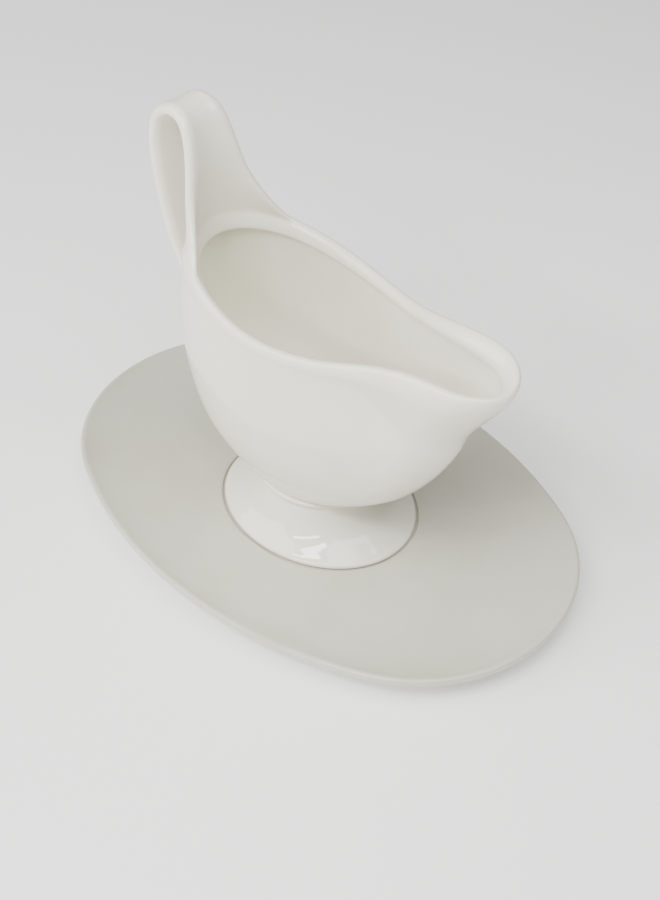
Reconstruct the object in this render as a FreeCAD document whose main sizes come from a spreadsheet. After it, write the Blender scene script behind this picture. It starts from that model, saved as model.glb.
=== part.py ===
import FreeCAD, Part
import Sketcher
import math
import os
from FreeCAD import Placement, Rotation, Vector

# A porcelain gravy boat that stands loose in the oval well of its saucer.
# X runs along the boat (spout at +X, handle at -X), Y across it and Z up.
# The origin is on the table, under the middle of the saucer. Millimetres.

os.makedirs("parts", exist_ok=True)
doc = FreeCAD.newDocument("gravy_boat")
sheet = doc.addObject("Spreadsheet::Sheet", "Sizes")

SIZES = [
    ("saucerLength", 240.0, "saucer, rim to rim along X"),
    ("saucerWidth", 159.0, "saucer, rim to rim across Y"),
    ("saucerEndRadius", 67.0, "small radius of the four-centre oval of the rim"),
    ("saucerHeight", 14.0, "top of the saucer rim above the table"),
    ("saucerFloor", 7.4, "flat middle of the saucer above the table"),
    ("saucerUnder", 2.6, "underside of the saucer above the table"),
    ("floorInset", 41.0, "flat floor begins this far in from the rim"),
    ("wellDepth", 1.4, "depth of the well that the foot stands in"),
    ("wellGap", 1.0, "room round the foot in the well"),
    ("wellEdge", 0.9, "rounding of the edge of the well"),
    ("ringInset", 42.0, "outer side of the standing ring, in from the rim"),
    ("ringBreadth", 4.0, "breadth of the standing ring"),
    ("footLength", 88.6, "foot at its base along X"),
    ("footWidth", 72.0, "foot at its base across Y"),
    ("footWall", 4.4, "wall of the hollow foot"),
    ("neckLength", 50.2, "neck along X"),
    ("neckWidth", 46.6, "neck across Y"),
    ("neckHeight", 28.2, "seam of bowl and foot above the table"),
    ("beadRadius", 1.2, "bead that runs round the neck"),
    ("spoutReach", 95.8, "tip of the spout from the middle, control point"),
    ("rimBack", 64.2, "back of the rim from the middle, control point"),
    ("rimSide", 33.4, "side of the rim from the middle, control point"),
    ("rimHeight", 107.2, "lowest stretch of the rim above the table"),
    ("wallThickness", 3.8, "wall of the bowl"),
    ("bowlFloor", 4.6, "thickness of the floor of the bowl"),
    ("lipRadius", 3.1, "half thickness of the rounded rim"),
    ("spoutLip", 10.8, "breadth of the flat lip round the spout"),
    ("backRoll", 4.5, "how much deeper the rim rolls in below the handle"),
    ("spoutSlope", 3.4, "slope of the lip round the spout, down towards the channel"),
    ("strapWidth", 18.6, "handle strap, edge to edge over the arch"),
    ("strapThickness", 5.2, "handle strap, front to back"),
    ("handleTop", 169.5, "top of the arch above the table, control point"),
    ("handleStandoff", 19.5, "back of the handle behind the back of the rim, control point"),
    ("handleFoot", 90.0, "height at which the handle meets the back wall"),
]

for row, (alias, value, note) in enumerate(SIZES, start=1):
    sheet.set("A%d" % row, note)
    sheet.set("B%d" % row, repr(value))
    sheet.setAlias("B%d" % row, alias)
doc.recompute()


def size(alias):
    return float(getattr(sheet, alias))


def plane(body, role):
    return next(f for f in body.Origin.OriginFeatures if f.Role == role)


def new_body(name):
    body = doc.addObject("PartDesign::Body", name)
    body.Label = name
    return body


def new_sketch(body, name, role, height=None):
    """A sketch on one of the body's own planes, raised by an expression if one is given."""
    sketch = body.newObject("Sketcher::SketchObject", name)
    sketch.AttachmentSupport = [(plane(body, role), "")]
    sketch.MapMode = "FlatFace"
    if height:
        sketch.setExpression("AttachmentOffset.Base.z", height)
    return sketch


# ---- ovals ----------------------------------------------------------------

def add_ellipse(sketch, long_axis, short_axis, guess):
    """An ellipse about the sketch origin whose axes are bound to two expressions."""
    half_long, half_short = guess
    curve = sketch.addGeometry(Part.Ellipse(Vector(0, 0, 0), half_long, half_short), False)
    sketch.exposeInternalGeometry(curve)
    major, minor = curve + 1, curve + 2
    sketch.addConstraint(Sketcher.Constraint("Coincident", curve, 3, -1, 1))
    sketch.addConstraint(Sketcher.Constraint("Horizontal", major))
    for line, text, start in ((major, long_axis, half_long), (minor, short_axis, half_short)):
        index = sketch.addConstraint(Sketcher.Constraint("Distance", line, 2 * start))
        sketch.setExpression("Constraints[%d]" % index, text)


def oval_radii(half_length, half_width, end_radius):
    """Large radius of a four-centre oval whose arcs run into each other smoothly."""
    run = half_length - end_radius
    spare = half_width - end_radius
    return (run * run / spare + end_radius + half_width) / 2


def oval_arcs(inset):
    """The four arcs of the saucer's oval, moved in from the rim by inset."""
    half_length = size("saucerLength") / 2
    half_width = size("saucerWidth") / 2
    end_radius = size("saucerEndRadius")
    side_radius = oval_radii(half_length, half_width, end_radius)
    end_x = half_length - end_radius
    side_y = side_radius - half_width
    turn = math.atan2(side_y, end_x)
    arcs = []
    for centre, radius, middle, spread in (
        (Vector(end_x, 0, 0), end_radius, 0.0, turn),
        (Vector(0, -side_y, 0), side_radius, math.pi / 2, math.pi / 2 - turn),
        (Vector(-end_x, 0, 0), end_radius, math.pi, turn),
        (Vector(0, side_y, 0), side_radius, -math.pi / 2, math.pi / 2 - turn),
    ):
        circle = Part.Circle(centre, Vector(0, 0, 1), radius - inset)
        arcs.append(Part.ArcOfCircle(circle, middle - spread, middle + spread))
    return arcs


# ---- saucer ---------------------------------------------------------------

def saucer_profile(rim_x):
    """Half section of the saucer at its +X end: points are (inset from the rim, height)."""
    top = size("saucerHeight")
    floor = size("saucerFloor")
    under = size("saucerUnder")
    flat = size("floorInset")
    ring_out = size("ringInset")
    ring_in = ring_out + size("ringBreadth")
    middle = ring_in + 2.0
    rise = top - floor

    def at(inset, height):
        return Vector(rim_x - inset, height, 0)

    coupe = Part.BSplineCurve()
    coupe.interpolate(
        [at(flat, floor), at(26, floor + 0.13 * rise), at(13, floor + 0.42 * rise),
         at(5, floor + 0.76 * rise), at(2.4, top - 0.35)],
        InitialTangent=Vector(1, 0, 0), FinalTangent=Vector(1, 0.35, 0))
    roll = Part.Arc(at(2.4, top - 0.35), at(0.35, top - 0.75), at(0.5, top - 2.9))
    belly = Part.BSplineCurve()
    belly.interpolate(
        [at(0.5, top - 2.9), at(5, under + 0.42 * (top - under)), at(15, under + 0.2 * (top - under)),
         at(30, under + 0.04 * (top - under)), at(ring_out - 0.8, under)],
        InitialTangent=Vector(-0.6, -1, 0), FinalTangent=Vector(-1, 0, 0))
    ring = [at(ring_out - 0.8, under), at(ring_out, 0.6), at(ring_out + 0.6, 0),
            at(ring_in - 0.6, 0), at(ring_in, 0.6), at(ring_in + 0.8, under),
            at(middle, under), at(middle, floor), at(flat, floor)]
    pieces = [coupe, roll, belly]
    for start, end in zip(ring, ring[1:]):
        pieces.append(Part.LineSegment(start, end))
    return pieces, middle


def make_saucer():
    body = new_body("saucer")
    rim_x = size("saucerLength") / 2
    path = new_sketch(body, "saucer_rim_path", "XY_Plane")
    for arc in oval_arcs(0.0):
        path.addGeometry(arc, False)
    profile = new_sketch(body, "saucer_section", "XZ_Plane")
    pieces, middle = saucer_profile(rim_x)
    for piece in pieces:
        profile.addGeometry(piece, False)
    doc.recompute()
    sweep = body.newObject("PartDesign::AdditivePipe", "saucer_sweep")
    sweep.Profile = profile
    sweep.Spine = path
    doc.recompute()
    plate = new_sketch(body, "saucer_middle", "XY_Plane", "Sizes.saucerUnder")
    for arc in oval_arcs(middle - 1.0):
        plate.addGeometry(arc, False)
    floor = body.newObject("PartDesign::Pad", "saucer_floor")
    floor.Profile = plate
    floor.setExpression("Length", "Sizes.saucerFloor - Sizes.saucerUnder")
    doc.recompute()
    well_outline = new_sketch(body, "well_outline", "XY_Plane", "Sizes.saucerFloor")
    add_ellipse(well_outline, "Sizes.footLength + 2 * Sizes.wellGap",
                "Sizes.footWidth + 2 * Sizes.wellGap",
                (size("footLength") / 2, size("footWidth") / 2))
    doc.recompute()
    before = body.Shape.Volume
    well = body.newObject("PartDesign::Pocket", "well")
    well.Profile = well_outline
    well.setExpression("Length", "Sizes.wellDepth")
    doc.recompute()
    assert body.Shape.Volume < before - 1000, "the well cut nothing"
    edge = top_edge_name(body.Shape, size("saucerFloor"), size("footLength") / 2 + size("wellGap"))
    rounding = body.newObject("PartDesign::Fillet", "well_edge")
    rounding.Base = (well, [edge])
    rounding.setExpression("Radius", "Sizes.wellEdge")
    doc.recompute()
    return body


def top_edge_name(shape, height, reach):
    """Name of the closed edge at this height whose farthest point is reach from the middle."""
    for number, edge in enumerate(shape.Edges, start=1):
        box = edge.BoundBox
        level = abs(box.ZMin - height) < 0.01 and abs(box.ZMax - height) < 0.01
        if level and abs(box.XMax - reach) < 0.2 and edge.isClosed():
            return "Edge%d" % number
    raise RuntimeError("no edge at height %.2f" % height)


# ---- foot -----------------------------------------------------------------

# Trumpet of the foot: (share of the way from neck to base outwards, share of the height)
FOOT_OUTSIDE = [(0.985, 0.0), (1.0, 0.05), (0.90, 0.14), (0.66, 0.25), (0.39, 0.42), (0.15, 0.65), (0.03, 0.84), (0.0, 1.0)]
FOOT_INSIDE = [(0.98, -0.02), (0.84, 0.14), (0.60, 0.26), (0.36, 0.42), (0.13, 0.65), (0.03, 0.80)]


def foot_section(body, name, share, level, inset):
    """Ellipse of the foot at one level, inset from the outside by the wall if asked."""
    grow = "%.3f" % share
    base = "(Sizes.saucerFloor - Sizes.wellDepth)"
    sketch = new_sketch(body, name, "XY_Plane",
                        "%s + %.3f * (Sizes.neckHeight - %s)" % (base, level, base))
    axes = []
    for way in ("Length", "Width"):
        text = "Sizes.neck%s + %s * (Sizes.foot%s - Sizes.neck%s)" % (way, grow, way, way)
        axes.append(text + (" - 2 * Sizes.footWall" if inset else ""))
    add_ellipse(sketch, axes[0], axes[1], (40.0, 30.0))
    return sketch


def foot_loft(body, kind, name, stations, inset):
    sections = [foot_section(body, "%s_%d" % (name, number), share, level, inset)
                for number, (share, level) in enumerate(stations)]
    doc.recompute()
    loft = body.newObject(kind, name)
    loft.Profile = sections[0]
    loft.Sections = sections[1:]
    doc.recompute()
    return loft


def make_foot():
    body = new_body("pedestal_foot")
    foot_loft(body, "PartDesign::AdditiveLoft", "trumpet", FOOT_OUTSIDE, False)
    before = body.Shape.Volume
    foot_loft(body, "PartDesign::SubtractiveLoft", "hollow", FOOT_INSIDE, True)
    assert body.Shape.Volume < before - 5000, "the foot is not hollow"
    path = new_sketch(body, "bead_path", "XY_Plane", "Sizes.neckHeight - Sizes.beadRadius")
    add_ellipse(path, "Sizes.neckLength", "Sizes.neckWidth",
                (size("neckLength") / 2, size("neckWidth") / 2))
    ring = new_sketch(body, "bead_section", "XZ_Plane")
    centre = Vector(size("neckLength") / 2, size("neckHeight") - size("beadRadius"), 0)
    ring.addGeometry(Part.Circle(centre, Vector(0, 0, 1), size("beadRadius")), False)
    index = ring.addConstraint(Sketcher.Constraint("Radius", 0, size("beadRadius")))
    ring.setExpression("Constraints[%d]" % index, "Sizes.beadRadius")
    doc.recompute()
    bead = body.newObject("PartDesign::AdditivePipe", "neck_bead")
    bead.Profile = ring
    bead.Spine = (path, ["Edge1"])
    doc.recompute()
    return body


# ---- bowl -----------------------------------------------------------------

# The rim runs through sixteen stations; these nine go from the tip of the spout
# round one side to the back. Shares of spoutReach (ahead) or rimBack (behind),
# of rimSide, and of the height of the low rim above the neck.
RIM_ALONG = [1.0, 0.87, 0.70, 0.46, 0.25, -0.06, -0.45, -0.80, -1.0]
RIM_ACROSS = [0.0, 0.475, 0.49, 0.585, 0.785, 1.0, 0.94, 0.685, 0.0]
RIM_UP = [1.150, 1.180, 1.188, 1.113, 1.013, 1.0, 1.072, 1.149, 1.198]
# How much of each station belongs to the spout and how much to the back.
SPOUT_SHARE = [1.0, 1.0, 0.85, 0.35, 0.0, 0.0, 0.0, 0.0, 0.0]
BACK_SHARE = [0.0, 0.0, 0.0, 0.0, 0.0, 0.15, 0.5, 0.9, 1.0]
# Four rings between neck and rim as (share outwards, share upwards).
SIDE_RINGS = [(0.46, 0.05), (0.94, 0.20), (1.16, 0.53), (1.07, 0.94)]
SPOUT_RINGS = [(0.22, 0.05), (0.45, 0.21), (0.72, 0.55), (0.72, 0.66)]
BACK_RINGS = [(0.51, 0.0), (1.0, 0.15), (1.27, 0.52), (1.12, 1.0)]
STATIONS = 16


def mirrored(half):
    """Nine values from spout to back become sixteen all the way round."""
    return half + half[-2:0:-1]


def neck_ring(share, height):
    """Control points of the neck ellipse, scaled by share, at this height."""
    swell = 6 / (4 + 2 * math.cos(2 * math.pi / STATIONS))
    ring = []
    for station in range(STATIONS):
        angle = 2 * math.pi * station / STATIONS
        ring.append(Vector(size("neckLength") / 2 * swell * share * math.cos(angle),
                           size("neckWidth") / 2 * swell * share * math.sin(angle), height))
    return ring


def rim_ring():
    neck = size("neckHeight")
    ring = []
    for station in range(STATIONS):
        half = min(station, STATIONS - station)
        side = 1 if station <= STATIONS // 2 else -1
        reach = size("spoutReach") if RIM_ALONG[half] > 0 else size("rimBack")
        ring.append(Vector(reach * RIM_ALONG[half], side * size("rimSide") * RIM_ACROSS[half],
                           neck + RIM_UP[half] * (size("rimHeight") - neck)))
    return ring


def outward(ring):
    """Level unit normals of a ring of control points, pointing away from the middle."""
    normals = []
    for station in range(STATIONS):
        along = ring[(station + 1) % STATIONS] - ring[station - 1]
        normals.append(Vector(along.y, -along.x, 0).normalize())
    return normals


def wall_ring(level, neck, rim):
    """One ring of the outside of the bowl, blended from side, spout and back."""
    spout, back = mirrored(SPOUT_SHARE), mirrored(BACK_SHARE)
    ring = []
    for station in range(STATIONS):
        weights = (1 - spout[station] - back[station], spout[station], back[station])
        rows = (SIDE_RINGS[level], SPOUT_RINGS[level], BACK_RINGS[level])
        out = sum(w * row[0] for w, row in zip(weights, rows))
        up = sum(w * row[1] for w, row in zip(weights, rows))
        start, end = neck[station], rim[station]
        ring.append(Vector(start.x + (end.x - start.x) * out, start.y + (end.y - start.y) * out,
                           start.z + (end.z - start.z) * up))
    return ring


# Section of the rim from outside to inside: (share of its half breadth outwards,
# share of its half thickness upwards, share of the slope of the lip upwards round
# the spout). The last point undercuts the inner edge.
RIM_SECTION = [(0.78, -0.8, -0.6), (0.42, 0.34, 0.1), (-0.55, 0.3, -0.5), (-1.15, -0.5, -1.1),
               (-0.8, -1.35, -1.0)]


def rim_rings(rim):
    """Rings of the rounded rim: a broad lip round the spout, a deep roll below the handle."""
    radius = size("lipRadius")
    broad = size("spoutLip") / 2 - radius
    slope = size("spoutSlope")
    normals = outward(rim)
    spout, back = mirrored(SPOUT_SHARE), mirrored(BACK_SHARE)
    rings = []
    for out, up, tilt in RIM_SECTION:
        ring = []
        for station in range(STATIONS):
            reach = out * (radius + broad * spout[station])
            drop = size("backRoll") * back[station] if up < 0 and out < 0 else 0.0
            ring.append(rim[station] + normals[station] * (reach - 0.3 * drop)
                        + Vector(0, 0, up * radius - drop + tilt * slope * spout[station]))
        rings.append(ring)
    return rings


def shifted_in(ring, inset, lift):
    return [point - normal * inset + Vector(0, 0, lift)
            for point, normal in zip(ring, outward(ring))]


def bowl_rings():
    neck_height = size("neckHeight")
    wall = size("wallThickness")
    floor = neck_height + size("bowlFloor")
    neck = neck_ring(1.0, neck_height)
    rim = rim_ring()
    walls = [wall_ring(level, neck, rim) for level in range(4)]
    rings = [neck] + walls + rim_rings(rim)
    for level, lift in ((3, 0.0), (2, 0.2 * wall), (1, 0.7 * wall)):
        rings.append(shifted_in(walls[level], wall, lift))
    rings.append(neck_ring(0.8, floor))
    rings.append(neck_ring(0.5, floor))
    return rings


def closed_skin(rings):
    """A solid whose skin is one surface, periodic round the rings, with flat caps at both ends."""
    around, along = len(rings[0]), len(rings)
    poles = [[rings[row][column] for row in range(along)] for column in range(around)]
    skin = Part.BSplineSurface()
    skin.buildFromPolesMultsKnots(
        poles,
        [1] * (around + 1), [4] + [1] * (along - 4) + [4],
        [float(k) for k in range(around + 1)], [float(k) for k in range(along - 2)],
        True, False, 3, 3)
    side = skin.toShape()
    caps = [Part.Face(Part.Wire([edge])) for edge in side.Edges if edge.isClosed()]
    skins = Part.Compound([side] + caps)
    skins.sewShape(0.0001)
    solid = Part.Solid(skins)
    if solid.Volume < 0:
        solid.reverse()
    return solid


def feature(name, shape):
    piece = doc.addObject("Part::Feature", name)
    piece.Shape = shape
    piece.Placement = Placement(Vector(0, 0, 0), Rotation())
    return piece


def make_bowl():
    return feature("bowl", closed_skin(bowl_rings()))


# ---- handle ---------------------------------------------------------------

# Section of the strap: (share of the half width, share of the half thickness).
STRAP_SECTION = [(1.1, 0.0), (0.8, 1.0), (0.28, 1.0), (-0.28, 1.0), (-0.8, 1.0),
                 (-1.1, 0.0), (-0.8, -1.0), (-0.28, -1.0), (0.28, -1.0), (0.8, -1.0)]


def strap_rings():
    """Rings of the strap from inside the rim, over the arch, to inside the back wall.

    Each row is the place of the edges, the half width, how far the edges stand
    ahead of the middle, and the share of the full thickness."""
    back = size("rimBack")
    reach = back + size("handleStandoff")
    top = size("handleTop")
    foot = size("handleFoot")
    rim_top = size("neckHeight") + RIM_UP[-1] * (size("rimHeight") - size("neckHeight"))
    rise = top - rim_top
    half = size("strapWidth") / 2
    rows = [
        (0.66 * back, rim_top - 9.0, 2.70 * half, 20.3, 0.50),
        (0.78 * back, rim_top + 2.0, 2.15 * half, 12.0, 0.85),
        (0.84 * back, rim_top + 0.39 * rise, 1.48 * half, 6.0, 1.0),
        (0.90 * back, rim_top + 0.92 * rise, 1.12 * half, 2.0, 1.0),
        (0.835 * reach, top, 1.0 * half, 0.5, 1.0),
        (reach, rim_top + 0.80 * rise, 1.0 * half, 0.2, 1.0),
        (0.975 * reach, rim_top + 0.075 * rise, 0.96 * half, 0.0, 1.0),
        (1.13 * back, foot + 5.5, 0.9 * half, -1.0, 0.9),
        (1.011 * back, foot - 1.5, 0.86 * half, -1.2, 0.8),
    ]
    rings = []
    for index, (behind, height, width, dish, share) in enumerate(rows):
        before = rows[max(index - 1, 0)]
        after = rows[min(index + 1, len(rows) - 1)]
        run = Vector(before[0] - after[0], 0, after[1] - before[1])
        if index == 0:
            run = Vector(0, 0, 1)
        run.normalize()
        face = Vector(run.z, 0, -run.x)
        thick = share * size("strapThickness") / 2
        ring = []
        for across, depth in STRAP_SECTION:
            lean = Vector(width, -2 * dish * across, 0).normalize()
            place = Vector(-behind, width * across, height)
            place += face * (dish * (across * across - 1) + thick * depth * lean.x)
            place += Vector(0, thick * depth * lean.y, 0)
            ring.append(place)
        rings.append(ring)
    return rings


def make_handle(bowl):
    """The strap less what is inside the wall, so that it is luted on face to face."""
    strap = closed_skin(strap_rings())
    left = strap.cut(bowl.Shape)
    largest = max(left.Solids, key=lambda solid: solid.Volume)
    return feature("loop_handle", largest)


# ---- build, check, write --------------------------------------------------

saucer = make_saucer()
foot = make_foot()
bowl = make_bowl()
handle = make_handle(bowl)
doc.recompute()

for item in doc.Objects:
    bad = [word for word in item.State if word in ("Invalid", "Error")]
    if bad:
        raise RuntimeError("%s is %s" % (item.Name, bad))
for node in (saucer, foot, bowl, handle):
    shape = node.Shape
    if shape.isNull() or not shape.isValid() or len(shape.Solids) != 1:
        raise RuntimeError("%s is not one valid solid" % node.Label)
    shape.exportStep("parts/%s.step" % node.Label)
    box = shape.BoundBox
    print("%-14s %9.0f mm3   x %.1f..%.1f  y %.1f..%.1f  z %.1f..%.1f" % (
        node.Label, shape.Volume, box.XMin, box.XMax, box.YMin, box.YMax, box.ZMin, box.ZMax))
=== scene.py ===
# %% [markdown]
# # A porcelain gravy boat on its saucer
# The object is two loose pieces of glazed white porcelain. The boat is one fired piece with
# a deep bowl, a broad pouring spout, a strap handle that rises in a loop from the rim, and a
# hollow trumpet foot. It stands in the shallow oval well of a saucer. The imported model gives
# every size and place, so the first cell loads it and notes its box.

# %% Load the frame
import math

import bmesh
import bpy
from mathutils import Matrix, Vector


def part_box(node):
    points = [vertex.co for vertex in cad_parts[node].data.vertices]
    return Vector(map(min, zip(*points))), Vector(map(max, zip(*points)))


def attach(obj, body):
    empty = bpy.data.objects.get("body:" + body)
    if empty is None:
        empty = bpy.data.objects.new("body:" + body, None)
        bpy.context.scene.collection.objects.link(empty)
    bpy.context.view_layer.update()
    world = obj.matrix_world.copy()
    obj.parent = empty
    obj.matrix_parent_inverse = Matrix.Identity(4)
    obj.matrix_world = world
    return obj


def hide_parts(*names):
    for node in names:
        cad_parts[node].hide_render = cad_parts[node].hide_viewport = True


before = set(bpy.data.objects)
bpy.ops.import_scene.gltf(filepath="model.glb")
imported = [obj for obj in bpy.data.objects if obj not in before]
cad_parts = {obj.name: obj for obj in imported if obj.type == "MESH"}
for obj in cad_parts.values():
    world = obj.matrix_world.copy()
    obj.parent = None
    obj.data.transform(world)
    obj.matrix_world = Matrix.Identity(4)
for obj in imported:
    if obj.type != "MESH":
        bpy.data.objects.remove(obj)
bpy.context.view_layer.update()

MM = 0.001
bowl_low, bowl_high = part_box("bowl")
foot_low, foot_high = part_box("pedestal_foot")
handle_low, handle_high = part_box("loop_handle")
saucer_low, saucer_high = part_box("saucer")
print("saucer %.0f x %.0f mm, boat %.0f mm long, %.0f mm high" % (
    (saucer_high.x - saucer_low.x) / MM, (saucer_high.y - saucer_low.y) / MM,
    (bowl_high.x - handle_low.x) / MM, handle_high.z / MM))

# %% [markdown]
# ## Camera
# The boat is seen from above its right shoulder: about halfway between the side and the
# spout, and a little under halfway between level and straight down. A longish lens keeps the
# saucer's oval true. The aim is a point near the neck, given in the camera's own right and up.

# %% Camera
CAMERA_AZIMUTH = math.radians(44.56)
CAMERA_ELEVATION = math.radians(42.17)
CAMERA_DISTANCE = 636.7 * MM
AIM_RIGHT = 4.4 * MM
AIM_UP = 26.2 * MM
LENS = 59.7

back = Vector((math.sin(CAMERA_AZIMUTH) * math.cos(CAMERA_ELEVATION),
               -math.cos(CAMERA_AZIMUTH) * math.cos(CAMERA_ELEVATION),
               math.sin(CAMERA_ELEVATION)))
right = Vector((math.cos(CAMERA_AZIMUTH), math.sin(CAMERA_AZIMUTH), 0))
up = back.cross(right)

camera = bpy.data.objects.new("camera", bpy.data.cameras.new("camera"))
bpy.context.scene.collection.objects.link(camera)
camera.data.lens = LENS
camera.data.sensor_width = 36
camera.matrix_world = Matrix((
    (right.x, up.x, back.x, 0), (right.y, up.y, back.y, 0), (right.z, up.z, back.z, 0), (0, 0, 0, 1)))
camera.location = right * AIM_RIGHT + up * AIM_UP + back * CAMERA_DISTANCE
bpy.context.scene.camera = camera
print("camera at", [round(c, 3) for c in camera.location])

# %% [markdown]
# ## Floor and light
# Porcelain shows its shape through soft shading and a few clean reflections. A pale floor and
# an even surround give the soft part. A large soft light from the left does the modelling, and
# two narrow panes beside it leave the window-like gleam on the glaze. A smaller one hangs close
# above, so that it lights the handle, the rim and the inside more than the saucer below.

# %% Floor and light
SURROUND_STRENGTH = 0.20
FLOOR_GLOW = 0.3
FLOOR_HALF = 6.0
LIT_POINT = Vector((0, 0, 0.07))
# Name, azimuth and elevation (degrees), distance, width and height (metres), power (watts).
LIGHTS = [("soft_left", -40, 36, 1.6, 1.3, 1.2, 27),
          ("pane_low", 12, 36, 0.9, 0.46, 0.07, 3.2),
          ("pane_high", 12, 54, 0.9, 0.46, 0.11, 4.8),
          ("top_right", 80, 66, 0.62, 0.5, 0.4, 3.5)]


def area_light(name, azimuth, elevation, distance, width, height, watts):
    """A rectangular light that faces the object; azimuth is counted as for the camera."""
    a, e = math.radians(azimuth), math.radians(elevation)
    away = Vector((math.sin(a) * math.cos(e), -math.cos(a) * math.cos(e), math.sin(e)))
    data = bpy.data.lights.new(name, "AREA")
    data.shape = "RECTANGLE"
    data.size, data.size_y = width, height
    data.energy = watts
    light = bpy.data.objects.new(name, data)
    bpy.context.scene.collection.objects.link(light)
    light.location = LIT_POINT + away * distance
    light.rotation_mode = "QUATERNION"
    light.rotation_quaternion = away.to_track_quat("Z", "Y")


world = bpy.data.worlds.new("surround")
bpy.context.scene.world = world
world.use_nodes = True
surround = world.node_tree.nodes["Background"]
surround.inputs["Color"].default_value = (1.0, 1.0, 1.0, 1)
surround.inputs["Strength"].default_value = SURROUND_STRENGTH

for light in LIGHTS:
    area_light(*light)

floor_mesh = bpy.data.meshes.new("floor")
floor_bm = bmesh.new()
bmesh.ops.create_grid(floor_bm, x_segments=1, y_segments=1, size=FLOOR_HALF)
floor_bm.to_mesh(floor_mesh)
floor_bm.free()
floor = bpy.data.objects.new("floor", floor_mesh)
bpy.context.scene.collection.objects.link(floor)
print(len(LIGHTS), "lights over a floor", 2 * FLOOR_HALF, "m wide")

# %% [markdown]
# ## Writing shader maths as expressions
# A glaze is mostly small sums: a little more colour here, a little less roughness there. One
# small class wraps a socket, so that an expression such as 0.1 + 0.05 * cloud adds its own
# Math nodes, and one method adds any other node.

# %% Shader helper
class Socket:
    """An output socket that can be added, subtracted, multiplied, divided and raised."""

    def __init__(self, tree, output):
        self.tree = tree
        self.output = output

    def maths(self, operation, first, second):
        node = self.tree.nodes.new("ShaderNodeMath")
        node.operation = operation
        for slot, value in zip(node.inputs, (first, second)):
            put(self.tree, slot, value)
        return Socket(self.tree, node.outputs[0])

    def __add__(self, other):
        return self.maths("ADD", self, other)

    def __radd__(self, other):
        return self.maths("ADD", other, self)

    def __sub__(self, other):
        return self.maths("SUBTRACT", self, other)

    def __rsub__(self, other):
        return self.maths("SUBTRACT", other, self)

    def __mul__(self, other):
        return self.maths("MULTIPLY", self, other)

    def __rmul__(self, other):
        return self.maths("MULTIPLY", other, self)

    def __truediv__(self, other):
        return self.maths("DIVIDE", self, other)

    def __rtruediv__(self, other):
        return self.maths("DIVIDE", other, self)

    def __pow__(self, other):
        return self.maths("POWER", self, other)

    def __rpow__(self, other):
        return self.maths("POWER", other, self)


def put(tree, slot, value):
    """Sets a socket to a value, or links it to a wrapped socket."""
    if isinstance(value, Socket):
        tree.links.new(value.output, slot)
    else:
        slot.default_value = value


class Shader:
    """A new material's node tree."""

    def __init__(self, name):
        self.material = bpy.data.materials.new(name)
        self.material.use_nodes = True
        self.tree = self.material.node_tree
        self.tree.nodes.clear()
        self.surface = self.tree.nodes.new("ShaderNodeBsdfPrincipled")
        self.node("ShaderNodeOutputMaterial", None,
                  {"Surface": Socket(self.tree, self.surface.outputs[0])}, None)
        self.place = self.node("ShaderNodeTexCoord", out="Object")

    def node(self, kind, settings=None, inputs=None, out=0):
        """Adds a node: its settings first, then its inputs by name or number."""
        node = self.tree.nodes.new(kind)
        for key, value in (settings or {}).items():
            setattr(node, key, value)
        for key, value in (inputs or {}).items():
            put(self.tree, node.inputs[key], value)
        return None if out is None else Socket(self.tree, node.outputs[out])

    def moved(self, shift):
        """The place on the object, moved by shift."""
        return self.node("ShaderNodeMapping", None, {"Vector": self.place, "Location": shift})

    def noise(self, scale, detail, roughness, shift=(0, 0, 0)):
        return self.node("ShaderNodeTexNoise", None, {
            "Vector": self.moved(shift), "Scale": scale, "Detail": detail,
            "Roughness": roughness}, "Fac")

    def ramp(self, value, low, high):
        """0 below low, 1 above high, smooth between."""
        return self.node("ShaderNodeMapRange", {"interpolation_type": "SMOOTHSTEP"},
                         {"Value": value, "From Min": low, "From Max": high})

    def mix(self, share, first, second):
        """From the first colour to the second as share goes from 0 to 1."""
        return self.node("ShaderNodeMix", {"data_type": "RGBA"}, {0: share, 6: first, 7: second}, 2)

    def height(self):
        """Height above the table."""
        return self.node("ShaderNodeSeparateXYZ", None, {0: self.place}, 2)

    def set(self, **values):
        for key, value in values.items():
            put(self.tree, self.surface.inputs[key.replace("_", " ")], value)


# %% [markdown]
# ## The glaze
# White porcelain glaze is a clear glassy coat over a slightly warm body. Its colour drifts
# by a percent or two where the coat is thicker, its surface has a very slow ripple that bends
# reflections, and there is the odd pinhead of iron. The foot rings are wiped clean before
# firing, so they are bare, matt and browner; the foot's dark brown ring also paints the shade
# in the gap between the foot and the saucer's well. Boat and saucer are the same porcelain.
# The saucer's base colour is set darker than the boat's as painted shade, for the tone that it
# has under this light; it is not a second material.

# %% Glaze materials
GLAZE_LIGHT = (0.87, 0.85, 0.735, 1)
GLAZE_DEEP = (0.85, 0.825, 0.695, 1)
# Painted shade: the saucer is the boat's porcelain, with its base colours darkened to the tone it has
# under this light.
SHADED_SAUCER_LIGHT = (0.58, 0.575, 0.48, 1)
SHADED_SAUCER_DEEP = (0.555, 0.545, 0.445, 1)
# The bare body is the unglazed foot ring, and its dark brown is partly painted shade for the line in
# the gap between the foot and the well.
BARE_BODY_AND_GAP_SHADE = (0.34, 0.26, 0.18, 1)
SPECK = (0.30, 0.22, 0.14, 1)
GLAZE_IOR = 1.5
GLAZE_ROUGHNESS = 0.03
RIPPLE_STRENGTH = 0.2
RIPPLE_HEIGHT = 0.03 * MM
PAPER_LIGHT = (0.93, 0.93, 0.92, 1)
PAPER_DEEP = (0.90, 0.90, 0.89, 1)


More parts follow.
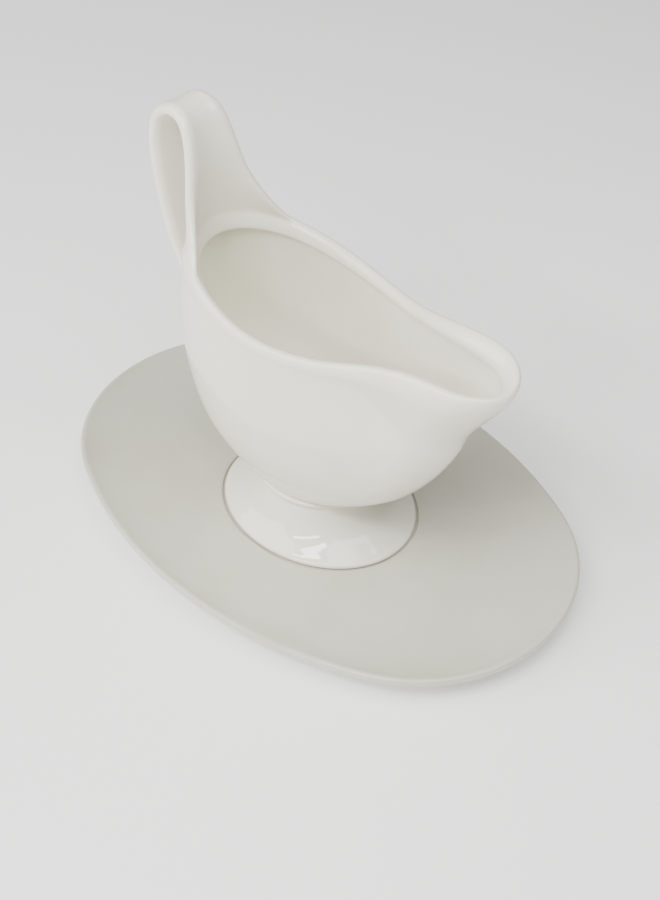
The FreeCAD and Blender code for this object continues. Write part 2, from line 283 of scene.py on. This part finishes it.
def glaze(name, light, deep, bare_below, speck_seed):
    """Glazed porcelain that is bare below a given height."""
    shader = Shader(name)
    cloud = shader.noise(28.0, 3.0, 0.55, (speck_seed, 0.3, 0.1))
    fine = shader.noise(420.0, 2.0, 0.5, (0.2, speck_seed, 0.5))
    colour = shader.mix(shader.ramp(cloud, 0.40, 0.66), light, deep)
    cells = shader.node("ShaderNodeTexVoronoi", None, {
        "Vector": shader.moved((speck_seed, 0.7, 0.2)), "Scale": 38.0}, "Distance")
    spot = 1 - shader.ramp(cells, 0.010, 0.022)
    colour = shader.mix(spot * 0.35, colour, SPECK)
    # Bare ring below the given height; on the foot its dark colour partly paints the shade in the gap
    # at the well.
    bare = 1 - shader.ramp(shader.height(), bare_below, bare_below + 0.5 * MM)
    colour = shader.mix(bare, colour, BARE_BODY_AND_GAP_SHADE)
    ripple = shader.noise(75.0, 1.0, 0.4, (0.9, 0.1, speck_seed))
    bump = shader.node("ShaderNodeBump", None, {
        "Strength": RIPPLE_STRENGTH, "Distance": RIPPLE_HEIGHT, "Height": ripple + 0.04 * fine})
    shader.set(Base_Color=colour, Normal=bump, IOR=GLAZE_IOR,
               Roughness=GLAZE_ROUGHNESS + 0.04 * cloud + 0.45 * bare)
    return shader.material


boat_glaze = glaze("boat_glaze", GLAZE_LIGHT, GLAZE_DEEP, foot_low.z + 0.35 * MM, 0.13)
# The saucer's material carries painted shade in its darker base colours.
shaded_saucer_glaze = glaze("shaded_saucer_glaze", SHADED_SAUCER_LIGHT, SHADED_SAUCER_DEEP, saucer_low.z + 0.4 * MM, 0.57)

floor_shader = Shader("floor_paper")
grain = floor_shader.noise(300.0, 3.0, 0.6)
floor_shader.set(Base_Color=floor_shader.mix(grain, PAPER_DEEP, PAPER_LIGHT), Roughness=0.85,
                 Emission_Color=(1.0, 1.0, 1.0, 1), Emission_Strength=FLOOR_GLOW)
floor.data.materials.append(floor_shader.material)
print("materials:", boat_glaze.name, shaded_saucer_glaze.name, floor_shader.material.name)

# %% [markdown]
# ## Turning curves into rings
# Each piece is drawn out ring by ring, as a potter or a mould maker would describe it: a
# closed curve is moved, widened and moved again. A circle is made first, its points are put on
# the first curve, and its open edge is extruded for each curve that follows.

# %% Ring helpers
def first_ring(bm, places):
    """A closed ring of points from a circle, put on the given places."""
    made = bmesh.ops.create_circle(bm, segments=len(places), radius=1.0, cap_ends=False)
    for vertex, place in zip(made["verts"], places):
        vertex.co = place
    return made["verts"]


def around(bm, ring):
    """The edges of a closed ring."""
    return [bm.edges.get(pair) for pair in zip(ring, ring[1:] + ring[:1])]


def next_ring(bm, ring, places):
    """Extrudes the ring's edges and puts the new points on the given places."""
    made = bmesh.ops.extrude_edge_only(bm, edges=around(bm, ring))["geom"]
    fresh = {}
    for vertex in made:
        if isinstance(vertex, bmesh.types.BMVert):
            for edge in vertex.link_edges:
                fresh[edge.other_vert(vertex)] = vertex
    new = [fresh[vertex] for vertex in ring]
    for vertex, place in zip(new, places):
        vertex.co = place
    return new


def cap(bm, ring):
    """Closes a ring with one flat face."""
    return bmesh.ops.contextual_create(bm, geom=around(bm, ring))


def lofted(bm, curves):
    """A closed skin through the curves, flat at both ends."""
    ring = first_ring(bm, curves[0])
    rings = [ring]
    cap(bm, ring)
    for curve in curves[1:]:
        ring = next_ring(bm, ring, curve)
        rings.append(ring)
    cap(bm, ring)
    return rings


def finish_piece(bm, name, material, body, nodes, levels):
    """Makes the object, with smooth faces that point outwards and a live subdivision."""
    bmesh.ops.recalc_face_normals(bm, faces=bm.faces)
    mesh = bpy.data.meshes.new(name)
    bm.to_mesh(mesh)
    bm.free()
    mesh.polygons.foreach_set("use_smooth", [True] * len(mesh.polygons))
    mesh.materials.append(material)
    piece = bpy.data.objects.new(name, mesh)
    bpy.context.scene.collection.objects.link(piece)
    smoothing = piece.modifiers.new("smoothing", "SUBSURF")
    smoothing.levels = smoothing.render_levels = levels
    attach(piece, body)
    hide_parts(*nodes)
    print(name, len(mesh.polygons), "faces before smoothing")
    return piece


# %% [markdown]
# ## Smooth curves from a few points
# The plan of the rim and the section of the wall are free curves. A cubic B-spline follows a
# few control points without wrinkles. One function closes it on itself, for the plan, and one
# starts and ends on its end points, for the section.

# %% Spline helpers
def cubic_weights(t):
    """Weights of four neighbouring control points at t between 0 and 1."""
    return ((1 - t) ** 3 / 6, (3 * t ** 3 - 6 * t * t + 4) / 6,
            (-3 * t ** 3 + 3 * t * t + 3 * t + 1) / 6, t ** 3 / 6)


def on_closed(points, place):
    """The point at place, counted in control points, on a closed spline."""
    whole = math.floor(place)
    weights = cubic_weights(place - whole)
    total = points[0] * 0
    for step, weight in enumerate(weights):
        total = total + points[(whole + step - 1) % len(points)] * weight
    return total


def on_open(points, place):
    """The point at place, from 0 to len(points) - 3, on a spline that meets its ends."""
    spans = len(points) - 3
    knots = [0] * 4 + list(range(1, spans)) + [spans] * 4
    place = min(max(place, 0.0), spans - 1e-9)
    span = int(place) + 3
    work = [points[span - 3 + k] for k in range(4)]
    for level in range(1, 4):
        for k in range(3, level - 1, -1):
            low = knots[span - 3 + k]
            high = knots[span + 1 + k - level]
            share = (place - low) / (high - low)
            work[k] = work[k - 1] * (1 - share) + work[k] * share
    return work[3]


# %% [markdown]
# ## The bowl's control rings
# Sixteen stations run round the rim, from the tip of the spout to the back and round again.
# Below each station the wall swings out and in on its way to the neck: it is round and full at
# the sides and back, and drawn in under the spout. The rim itself is a rounded roll that
# broadens round the spout to a lip that slopes in towards the channel. The inside follows the
# outside at one wall's distance.

# %% Bowl sizes
STATIONS = 16
neck_height = bowl_low.z
neck_half_length = 25.1 * MM
neck_half_width = 23.3 * MM
spout_reach = bowl_high.x * 1.0210
rim_back = -bowl_low.x * 0.9589
rim_side = bowl_high.y * 0.9766
rim_rise = (bowl_high.z - neck_height) * 0.8391
wall = 3.8 * MM
floor_thickness = 4.6 * MM
rim_half = 3.1 * MM
lip_half = 5.4 * MM
back_roll = 4.5 * MM
spout_slope = 3.4 * MM

RIM_ALONG = [1.0, 0.87, 0.70, 0.46, 0.25, -0.06, -0.45, -0.80, -1.0]
RIM_ACROSS = [0.0, 0.475, 0.49, 0.585, 0.785, 1.0, 0.94, 0.685, 0.0]
RIM_UP = [1.150, 1.180, 1.188, 1.113, 1.013, 1.0, 1.072, 1.149, 1.198]
SPOUT_SHARE = [1.0, 1.0, 0.85, 0.35, 0.0, 0.0, 0.0, 0.0, 0.0]
BACK_SHARE = [0.0, 0.0, 0.0, 0.0, 0.0, 0.15, 0.5, 0.9, 1.0]
SIDE_RINGS = [(0.46, 0.05), (0.94, 0.20), (1.16, 0.53), (1.07, 0.94)]
SPOUT_RINGS = [(0.22, 0.05), (0.45, 0.21), (0.72, 0.55), (0.72, 0.66)]
BACK_RINGS = [(0.51, 0.0), (1.0, 0.15), (1.27, 0.52), (1.12, 1.0)]
RIM_SECTION = [(0.78, -0.8, -0.6), (0.42, 0.34, 0.1), (-0.55, 0.3, -0.5), (-1.15, -0.5, -1.1),
               (-0.8, -1.35, -1.0)]


def mirrored(half):
    return half + half[-2:0:-1]


spout_share = mirrored(SPOUT_SHARE)
back_share = mirrored(BACK_SHARE)


def neck_ring(share, height):
    """Control points of the neck's ellipse, scaled by share."""
    swell = 6 / (4 + 2 * math.cos(2 * math.pi / STATIONS))
    ring = []
    for station in range(STATIONS):
        angle = 2 * math.pi * station / STATIONS
        ring.append(Vector((neck_half_length * swell * share * math.cos(angle),
                            neck_half_width * swell * share * math.sin(angle), height)))
    return ring


def rim_ring():
    ring = []
    for station in range(STATIONS):
        half = min(station, STATIONS - station)
        side = 1 if station <= STATIONS // 2 else -1
        reach = spout_reach if RIM_ALONG[half] > 0 else rim_back
        ring.append(Vector((reach * RIM_ALONG[half], side * rim_side * RIM_ACROSS[half],
                            neck_height + RIM_UP[half] * rim_rise)))
    return ring


def outward(ring):
    """Level unit normals of a control ring, pointing away from the middle."""
    normals = []
    for station in range(STATIONS):
        along = ring[(station + 1) % STATIONS] - ring[station - 1]
        normals.append(Vector((along.y, -along.x, 0)).normalized())
    return normals


def bowl_control():
    neck, rim = neck_ring(1.0, neck_height), rim_ring()
    walls = []
    for level in range(4):
        ring = []
        for station in range(STATIONS):
            spout, rear = spout_share[station], back_share[station]
            rows = (SIDE_RINGS[level], SPOUT_RINGS[level], BACK_RINGS[level])
            weights = (1 - spout - rear, spout, rear)
            out = sum(w * row[0] for w, row in zip(weights, rows))
            rise = sum(w * row[1] for w, row in zip(weights, rows))
            point = neck[station].lerp(rim[station], out)
            point.z = neck_height + (rim[station].z - neck_height) * rise
            ring.append(point)
        walls.append(ring)
    roll = []
    normals = outward(rim)
    for out, rise, tilt in RIM_SECTION:
        ring = []
        for station in range(STATIONS):
            reach = out * (rim_half + (lip_half - rim_half) * spout_share[station])
            drop = back_roll * back_share[station] if rise < 0 and out < 0 else 0.0
            slope = spout_slope * spout_share[station] * tilt
            ring.append(rim[station] + normals[station] * (reach - 0.3 * drop)
                        + Vector((0, 0, rise * rim_half - drop + slope)))
        roll.append(ring)
    inside = []
    for level, lift in ((3, 0.0), (2, 0.2 * wall), (1, 0.7 * wall)):
        shifted = zip(walls[level], outward(walls[level]))
        inside.append([point - normal * wall + Vector((0, 0, lift)) for point, normal in shifted])
    floor_height = neck_height + floor_thickness
    ends = [neck_ring(0.8, floor_height), neck_ring(0.5, floor_height)]
    return [neck] + walls + roll + inside + ends


bowl_rings = bowl_control()
print(len(bowl_rings), "control rings of", STATIONS, "stations")

# %% [markdown]
# ## Drawing the bowl
# The control rings are read as one smooth skin, and the mesh is extruded ring by ring along
# it, closer together where the rim turns tightly. Low on the back the columns are drawn
# together, so that the lower end of the handle has small faces to grow into.

# %% Bowl skin
COLUMNS = 64
BACK = COLUMNS // 2
PATCH_LEVELS = [2.14, 2.21, 2.28, 2.35, 2.42]
ROOT_LEVELS = [4.0, 4.5, 5.0, 5.5, 6.0]
LEVELS = ([0, 0.12, 0.3, 0.5, 0.75, 1.0, 1.25, 1.5, 1.75, 1.95] + PATCH_LEVELS
          + [2.6, 2.8, 3.05, 3.3, 3.55, 3.78] + ROOT_LEVELS
          + [6.3, 6.6, 6.9, 7.2, 7.5, 7.8, 8.2, 8.6, 9.0, 9.5, 10.0, 10.5, 11.0, 11.5, 12.0])
PINCH = 0.62
PINCH_START, PINCH_END = 1.5, 4.0


def fade(value, start, end):
    """1 up to start, 0 from end, smooth between."""
    share = min(max((value - start) / (end - start), 0.0), 1.0)
    return 1 - share * share * (3 - 2 * share)


def bowl_level(level):
    """The closed control curve of the skin at one level."""
    return [on_open([ring[station] for ring in bowl_rings], level) for station in range(STATIONS)]


def bowl_curve(level):
    """Places of one ring of the bowl."""
    curve = bowl_level(level)
    pinch = PINCH * fade(abs(level - PATCH_LEVELS[2]), 0.25, 1.3)
    places = []
    for column in range(COLUMNS):
        offset = column * STATIONS / COLUMNS - STATIONS / 2
        offset *= 1 - pinch * fade(abs(offset), PINCH_START, PINCH_END)
        places.append(on_closed(curve, STATIONS / 2 + offset))
    return places


bm = bmesh.new()
skin = lofted(bm, [bowl_curve(level) for level in LEVELS])
print("bowl skin:", len(skin), "rings of", COLUMNS)

# %% [markdown]
# ## Opening the skin for the handle
# The handle is one with the rim, as clay that is luted on and smoothed over, so it is not a
# separate tube pushed into the wall. A block of faces is taken from the crest of the rim at
# the back, and another low on the back wall. Each leaves a hole with thirty-two edges.

# %% Two holes
HALF_BLOCK = 6
BLOCK_ROWS = 4
BORDER = 4 * HALF_BLOCK + 2 * BLOCK_ROWS


def hole(rows):
    """Deletes a block of faces behind the bowl and returns its border, from the first row on."""
    left, right = BACK - HALF_BLOCK, BACK + HALF_BLOCK
    ring = [skin[rows[0]][column] for column in range(left, right + 1)]
    ring += [skin[row][right] for row in rows[1:]]
    ring += [skin[rows[-1]][column] for column in range(right - 1, left - 1, -1)]
    ring += [skin[row][left] for row in rows[-2:0:-1]]
    block = set()
    for row in rows:
        block.update(skin[row][left:right + 1])
    faces = [face for face in bm.faces if len(face.verts) == 4 and block.issuperset(face.verts)]
    bmesh.ops.delete(bm, geom=faces, context="FACES")
    return ring


root_row = LEVELS.index(ROOT_LEVELS[0])
patch_row = LEVELS.index(PATCH_LEVELS[0])
root = hole(range(root_row, root_row + BLOCK_ROWS + 1))
patch = hole(range(patch_row + BLOCK_ROWS, patch_row - 1, -1))
print("border of the root:", len(root), "and of the lower end:", len(patch))

# %% [markdown]
# ## The line of the strap
# The strap rises from the rim, leans back over the top, falls outside the bowl and turns in to
# the wall. Each row says how far behind the middle its edges are, its height, half its width,
# how far its middle lags behind its edges, and half its thickness. It is widest at the rim,
# where it is dished to follow the curve of the bowl.

# %% Strap line
rim_top = neck_height + RIM_UP[-1] * rim_rise
strap_top = rim_top + (handle_high.z - rim_top) * 1.006
strap_reach = -handle_low.x * 0.9902
strap_rise = strap_top - rim_top
strap_half = 9.3 * MM
strap_thick = 2.6 * MM
landing = Vector((0, 0, 90.0 * MM))

STRAP_ROWS = [Vector(row) for row in (
    (0.66 * rim_back, rim_top - 8.0 * MM, 2.75 * strap_half, 20.3 * MM, 0.50 * strap_thick),
    (0.78 * rim_back, rim_top + 2.0 * MM, 2.15 * strap_half, 12.0 * MM, 0.85 * strap_thick),
    (0.84 * rim_back, rim_top + 0.39 * strap_rise, 1.48 * strap_half, 6.0 * MM, strap_thick),
    (0.90 * rim_back, rim_top + 0.92 * strap_rise, 1.12 * strap_half, 2.0 * MM, strap_thick),
    (0.835 * strap_reach, strap_top, strap_half, 0.5 * MM, strap_thick),
    (strap_reach, rim_top + 0.80 * strap_rise, strap_half, 0.2 * MM, strap_thick),
    (0.975 * strap_reach, rim_top + 0.075 * strap_rise, 0.96 * strap_half, 0.0, strap_thick),
    (1.13 * rim_back, landing.z + 5.5 * MM, 0.9 * strap_half, -1.0 * MM, 0.9 * strap_thick),
    (1.011 * rim_back, landing.z - 1.5 * MM, 0.86 * strap_half, -1.2 * MM, 0.8 * strap_thick),
)]
CORNER = math.sqrt(0.5)
STRAP_LOOK = 0.01


def strap_section():
    """Thirty-two points round a flat section with round edges: (edge, across, depth)."""
    section = []
    for step in range(-HALF_BLOCK, HALF_BLOCK + 1):
        section.append((0.0 if abs(step) < HALF_BLOCK else CORNER,
                        -step / (HALF_BLOCK - 1) if abs(step) < HALF_BLOCK else -step / HALF_BLOCK,
                        -1.0 if abs(step) < HALF_BLOCK else -CORNER))
    for depth in (-0.38, 0.0, 0.38):
        section.append((math.sqrt(1 - depth * depth), -1.0, depth))
    opposite = [(edge, -across, -depth) for edge, across, depth in section]
    return section + opposite


def strap_ring(place):
    """The ring of the strap at a place along its rows."""
    behind, height, width, dish, thick = on_open(STRAP_ROWS, place)
    ahead = on_open(STRAP_ROWS, place + STRAP_LOOK)
    run = Vector((behind - ahead[0], 0, ahead[1] - height)).normalized()
    face = Vector((run.z, 0, -run.x))
    ring = []
    for edge, across, depth in strap_section():
        share = across * (1 - thick / width * (1 - edge))
        lean = Vector((width, -2 * dish * share, 0)).normalized()
        point = Vector((-behind, width * share, height))
        point += face * (dish * (share * share - 1) + thick * depth * lean.x)
        ring.append(point + Vector((0, thick * depth * lean.y, 0)))
    return ring


def hermite(start, leave, end, arrive, t):
    """A point on the curve from start to end with given directions at both."""
    return (start * (2 * t ** 3 - 3 * t * t + 1) + leave * (t ** 3 - 2 * t * t + t)
            + end * (3 * t * t - 2 * t ** 3) + arrive * (t ** 3 - t * t))


# %% [markdown]
# ## Growing the handle
# The ring at the rim is drawn up into the strap. In the middle it leaves straight up. Towards
# its ends it first runs along the rim, so the strap spreads into the rim without a corner.
# Ring after ring follows the line of the strap, and the last ones spread again and are welded
# to the hole in the wall.

# %% Handle
FLARE_END = 1.0
FLARE_STEPS = 6
STRAP_END = 5.5
STRAP_STEP = 0.2
STRAP_NEAR = 0.05
FLARE_LEAVE = 16 * MM
FLARE_ARRIVE = 22 * MM


def flare_leave(index):
    """The direction in which a point of the root leaves the rim."""
    offset = root_offset[index]
    along = rim_behind - root_place[index]
    along = Vector((along.x, along.y, 0)).normalized() + Vector((0, 0, 0.25))
    share = offset * offset
    return (along * share + Vector((0, 0, 1)) * (1 - share)) * FLARE_LEAVE


root_place = [vertex.co.copy() for vertex in root]
rim_behind = (root_place[HALF_BLOCK] + root_place[HALF_BLOCK + BORDER // 2]) / 2
widest = max(abs(place.y) for place in root_place)
root_offset = [abs(place.y) / widest for place in root_place]
flare_goal = strap_ring(FLARE_END)
flare_next = strap_ring(FLARE_END + STRAP_NEAR)
ring = root
for step in range(1, FLARE_STEPS + 1):
    places = []
    for index in range(BORDER):
        arrive = (flare_next[index] - flare_goal[index]).normalized() * FLARE_ARRIVE
        places.append(hermite(root_place[index], flare_leave(index), flare_goal[index], arrive,
                              step / FLARE_STEPS))
    ring = next_ring(bm, ring, places)
count = round((STRAP_END - FLARE_END) / STRAP_STEP)
for step in range(1, count + 1):
    ring = next_ring(bm, ring, strap_ring(FLARE_END + step * STRAP_STEP))
print("handle so far:", FLARE_STEPS + count, "rings")

# %% [markdown]
# ## Joining the lower end
# The border of the lower hole is first moved to a rounded outline on the wall, a little larger
# than the strap. Each of its points slides over the skin of the bowl until it has the sideways
# place and the height that it should have.

# %% Lower end
FILLET = 1.6 * MM
LANDING_HEIGHT = 4.3 * MM
LANDING_STEPS = 3
LANDING_LEAVE = 5 * MM
LANDING_INWARD = Vector((2 * MM, 0, 0))
SLIDE_TURNS = 6


def slide_to(side, height, column, level):
    """The point of the bowl's skin with this y and z, found from a nearby start."""
    small = 0.05
    for turn in range(SLIDE_TURNS):
        curve, above = bowl_level(level), bowl_level(level + small)
        here = on_closed(curve, column)
        per_column = (on_closed(curve, column + small) - here) / small
        per_level = (on_closed(above, column) - here) / small
        column += (side - here.y) / per_column.y
        level += (height - here.z) / per_level.z
    return on_closed(bowl_level(level), column)


wide, thick = 0.87 * strap_half + FILLET, LANDING_HEIGHT
outline = []
for edge, across, depth in strap_section():
    share = across * (1 - thick / wide * (1 - edge))
    outline.append(slide_to(wide * share, landing.z - thick * depth, STATIONS / 2, PATCH_LEVELS[2]))
for vertex, place in zip(patch, outline):
    vertex.co = place

strap_end, strap_after = strap_ring(STRAP_END), strap_ring(STRAP_END + STRAP_NEAR)
middle = sum(outline, Vector()) / BORDER
for step in range(1, LANDING_STEPS + 1):
    places = []
    for index in range(BORDER):
        leave = (strap_after[index] - strap_end[index]).normalized() * LANDING_LEAVE
        arrive = (outline[index] - middle) * 0.45 + LANDING_INWARD
        places.append(hermite(strap_end[index], leave, outline[index], arrive,
                              step / LANDING_STEPS))
    ring = next_ring(bm, ring, places)
bmesh.ops.remove_doubles(bm, verts=ring + patch, dist=0.01 * MM)
open_edges = [edge for edge in bm.edges if not edge.is_manifold]
print("open edges after the weld:", len(open_edges))

# %% [markdown]
# ## The boat's body
# The closed cage of bowl and handle gets a live subdivision, which rounds the last steps away
# as a glaze does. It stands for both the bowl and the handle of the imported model.

# %% Finish the boat's body
finish_piece(bm, "boat_body", boat_glaze, "boat", ("bowl", "loop_handle"), 2)

# %% [markdown]
# ## The foot
# The foot is a hollow oval trumpet. Its outside is a sweep from a broad standing ring up to the
# neck, where a small bead hides the joint with the bowl. Only the bottom of the ring is bare, and
# its dark colour there is partly painted shade in the gap at the saucer's well.

# %% Foot
FOOT_POINTS = 64
neck_axes = Vector((neck_half_length, neck_half_width))
base_axes = Vector((foot_high.x, foot_high.y))
base_height, foot_rise = foot_low.z, foot_high.z - foot_low.z
FOOT_WALL = 4.4 * MM
FOOT_OUTSIDE = [(0.985, 0.0), (1.0, 0.05), (0.92, 0.125), (0.66, 0.235), (0.37, 0.39),
                (0.13, 0.62), (0.01, 0.82), (0.0, 1.0)]
FOOT_INSIDE = [(0.98, 0.0), (0.84, 0.14), (0.60, 0.26), (0.36, 0.42), (0.13, 0.65), (0.03, 0.80)]
# The bead from below: how far it stands out, and how far below the neck's top.
BEAD = [(0.0, 3.1), (0.25, 2.6), (0.95, 2.15), (1.2, 1.55), (1.2, 0.9), (0.8, 0.3), (0.2, 0.08)]
# The standing edge, from the outside round to the inside: share, level, and inset (mm).
FOOT_EDGE = [(0.97, 0.105, 0), (0.993, 0.080, 0), (1.002, 0.058, 0), (0.996, 0.040, 0),
             (0.975, 0.026, 0), (0.965, 0.012, 0.6), (0.965, 0.0, 1.4), (0.985, 0.0, 3.2)]


def ellipse(axes, height, inset=0.0):
    ring = []
    for step in range(FOOT_POINTS):
        angle = 2 * math.pi * step / FOOT_POINTS
        ring.append(Vector(((axes.x - inset) * math.cos(angle),
                            (axes.y - inset) * math.sin(angle), height)))
    return ring


def foot_ring(share, level, inset=0.0):
    return ellipse(neck_axes + (base_axes - neck_axes) * share, base_height + level * foot_rise, inset)


outside = [Vector(row) for row in FOOT_OUTSIDE]
inside = [Vector(row) for row in FOOT_INSIDE]
foot_rings = [ellipse(neck_axes, foot_high.z, 3 * MM), ellipse(neck_axes, foot_high.z, 0.3 * MM)]
for out, below in reversed(BEAD):
    foot_rings.append(ellipse(neck_axes + Vector((out, out)) * MM, foot_high.z - below * MM))
for step in range(9, 1, -1):
    share, level = on_open(outside, step / 2)
    foot_rings.append(foot_ring(share, level))
for share, level, inset in FOOT_EDGE:
    foot_rings.append(foot_ring(share, level, inset * MM))
foot_rings.append(foot_ring(0.985, 0.02, FOOT_WALL))
for step in range(1, 7):
    share, level = on_open(inside, step / 2)
    foot_rings.append(foot_ring(share, level, FOOT_WALL))
foot_rings.append(ellipse(neck_axes, base_height + 0.84 * foot_rise, FOOT_WALL + 3 * MM))
foot_rings.append(ellipse(neck_axes, base_height + 0.86 * foot_rise, FOOT_WALL + 9 * MM))

bm = bmesh.new()
lofted(bm, foot_rings)
finish_piece(bm, "trumpet_foot", boat_glaze, "boat", ("pedestal_foot",), 2)

# %% [markdown]
# ## The saucer
# The saucer is a shallow oval coupe. Its outline is four arcs that run into each other. Every
# ring keeps the same turning as the outline, moved in by an even distance, so the breadth of
# the curve is the same all round. The well for the foot is an ellipse.

# %% Saucer
SAUCER_POINTS = 96
saucer_half_length = saucer_high.x
saucer_half_width = saucer_high.y
end_radius = 67 * MM
run, spare = saucer_half_length - end_radius, saucer_half_width - end_radius
side_radius = (run * run / spare + end_radius + saucer_half_width) / 2
turning = math.atan2(side_radius - saucer_half_width, run)
saucer_top = saucer_high.z + 0.1 * MM
saucer_floor = 7.4 * MM
well_axes = Vector((foot_high.x + 0.98 * MM, foot_high.y + 1.0 * MM))


def oval_point(angle, inset, height):
    """The point of the outline whose outward direction has this angle, moved in by inset."""
    quarter = math.atan2(abs(math.sin(angle)), abs(math.cos(angle)))
    sign_x = 1 if math.cos(angle) >= 0 else -1
    sign_y = 1 if math.sin(angle) >= 0 else -1
    if quarter < turning:
        centre, radius = Vector((sign_x * run, 0, 0)), end_radius
    else:
        centre, radius = Vector((0, -sign_y * (side_radius - saucer_half_width), 0)), side_radius
    direction = Vector((math.cos(angle), math.sin(angle), 0))
    return centre + direction * (radius - inset) + Vector((0, 0, height))


def well_point(angle, inset, height):
    """The point of the well's ellipse whose outward direction has this angle, moved in."""
    c, s = math.cos(angle), math.sin(angle)
    a, b = well_axes
    size = math.sqrt(a * a * c * c + b * b * s * s)
    return Vector((a * a * c / size - inset * c, b * b * s / size - inset * s, height))


def even_angles():
    """Directions that space the points evenly along the outline."""
    fine = 2880
    places = [oval_point(2 * math.pi * k / fine, 0, 0) for k in range(fine + 1)]
    lengths = [0.0]
    for first, second in zip(places, places[1:]):
        lengths.append(lengths[-1] + (second - first).length)
    angles, k = [], 0
    for point in range(SAUCER_POINTS):
        goal = lengths[-1] * point / SAUCER_POINTS
        while lengths[k + 1] < goal:
            k += 1
        angles.append(2 * math.pi * (k + (goal - lengths[k]) / (lengths[k + 1] - lengths[k])) / fine)
    return angles


SPREAD_START = 43 * MM
WELL_LIP = -2.2 * MM
rise = saucer_top - saucer_floor
under = 2.6 * MM
deep = saucer_top - under
# From below the middle, over the standing ring and out under the edge: inset, height (mm).
UNDERSIDE = [(60, 2.6), (50, 2.6), (47.2, 2.6), (46.4, 2.2), (46, 0.9), (45.5, 0.12), (44.6, 0.0),
             (43.2, 0.0), (42.4, 0.12), (41.9, 0.9), (41.5, 2.2), (40.6, 2.65)]
BELLY = [(30, 0.04), (22, 0.105), (15, 0.20), (9, 0.315), (5, 0.42), (2.0, 0.56)]
COUPE = [(5.0, 0.775), (8.5, 0.60), (13, 0.42), (19, 0.255), (26, 0.13), (33, 0.045), (39, 0.008)]
# Round the edge: inset, drop below the top (mm). Down into the well: inset, drop below its brim.
EDGE = [(0.45, 3.1), (-0.05, 1.8), (0.2, 0.65), (1.1, -0.02), (2.3, 0.3), (3.4, 0.85)]
WELL = [(-2.2, 0.0), (-1.1, 0.0), (-0.45, 0.1), (-0.05, 0.45), (0.0, 0.95), (0.1, 1.3),
        (0.6, 1.4), (3.0, 1.4), (12.0, 1.4)]
angles = even_angles()
saucer_rings = []
for inset, height in UNDERSIDE:
    saucer_rings.append([oval_point(angle, inset * MM, height * MM) for angle in angles])
for inset, share in BELLY:
    saucer_rings.append([oval_point(angle, inset * MM, under + share * deep) for angle in angles])
for inset, drop in EDGE:
    saucer_rings.append([oval_point(angle, inset * MM, saucer_top - drop * MM) for angle in angles])
for inset, share in COUPE:
    saucer_rings.append([oval_point(angle, inset * MM, saucer_floor + share * rise)
                         for angle in angles])
outer = [oval_point(angle, SPREAD_START, saucer_floor) for angle in angles]
lip = [well_point(angle, WELL_LIP, saucer_floor) for angle in angles]
for share in (0.0, 0.4, 0.75):
    saucer_rings.append([a.lerp(b, share) for a, b in zip(outer, lip)])
for inset, drop in WELL:
    saucer_rings.append([well_point(angle, inset * MM, saucer_floor - drop * MM)
                         for angle in angles])
bm = bmesh.new()
lofted(bm, saucer_rings)
finish_piece(bm, "oval_saucer", shaded_saucer_glaze, "saucer", ("saucer",), 2)
